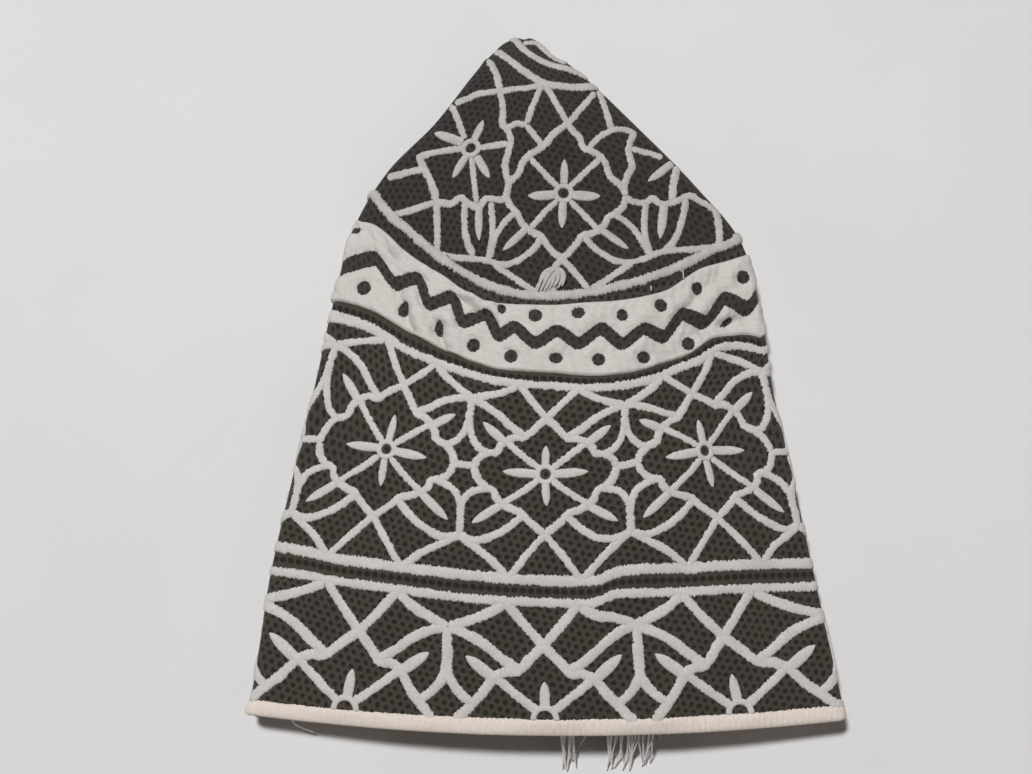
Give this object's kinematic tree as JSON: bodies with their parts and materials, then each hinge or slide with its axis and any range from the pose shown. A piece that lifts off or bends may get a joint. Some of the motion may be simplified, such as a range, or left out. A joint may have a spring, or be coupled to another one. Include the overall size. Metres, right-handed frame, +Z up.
{
  "type": "kumma cap",
  "caption": "Brimless embroidered cloth cap, folded flat with side gussets, lying on its side; wall, round crown and bound hem.",
  "frame": {"origin": "on the surface that the cap lies on, under the middle of its bounding box", "axes": "+Z up from that surface, +Y from the hem to the tip of the crown, +X to the right seen from above"},
  "size_m": [0.1856, 0.2314, 0.0275],
  "materials": {
    "wall_cloth": "matt woven cotton, charcoal olive, pierced with small eyelets",
    "crown_cloth": "matt woven cotton, charcoal olive, pierced with small eyelets",
    "binding_thread": "dense off-white satin stitch",
    "embroidery_thread": "raised off-white satin stitch"
  },
  "bodies": {
    "root": {"hem_binding": "binding_thread", "side_wall": "wall_cloth", "crown": "crown_cloth"}
  },
  "joints": []
}
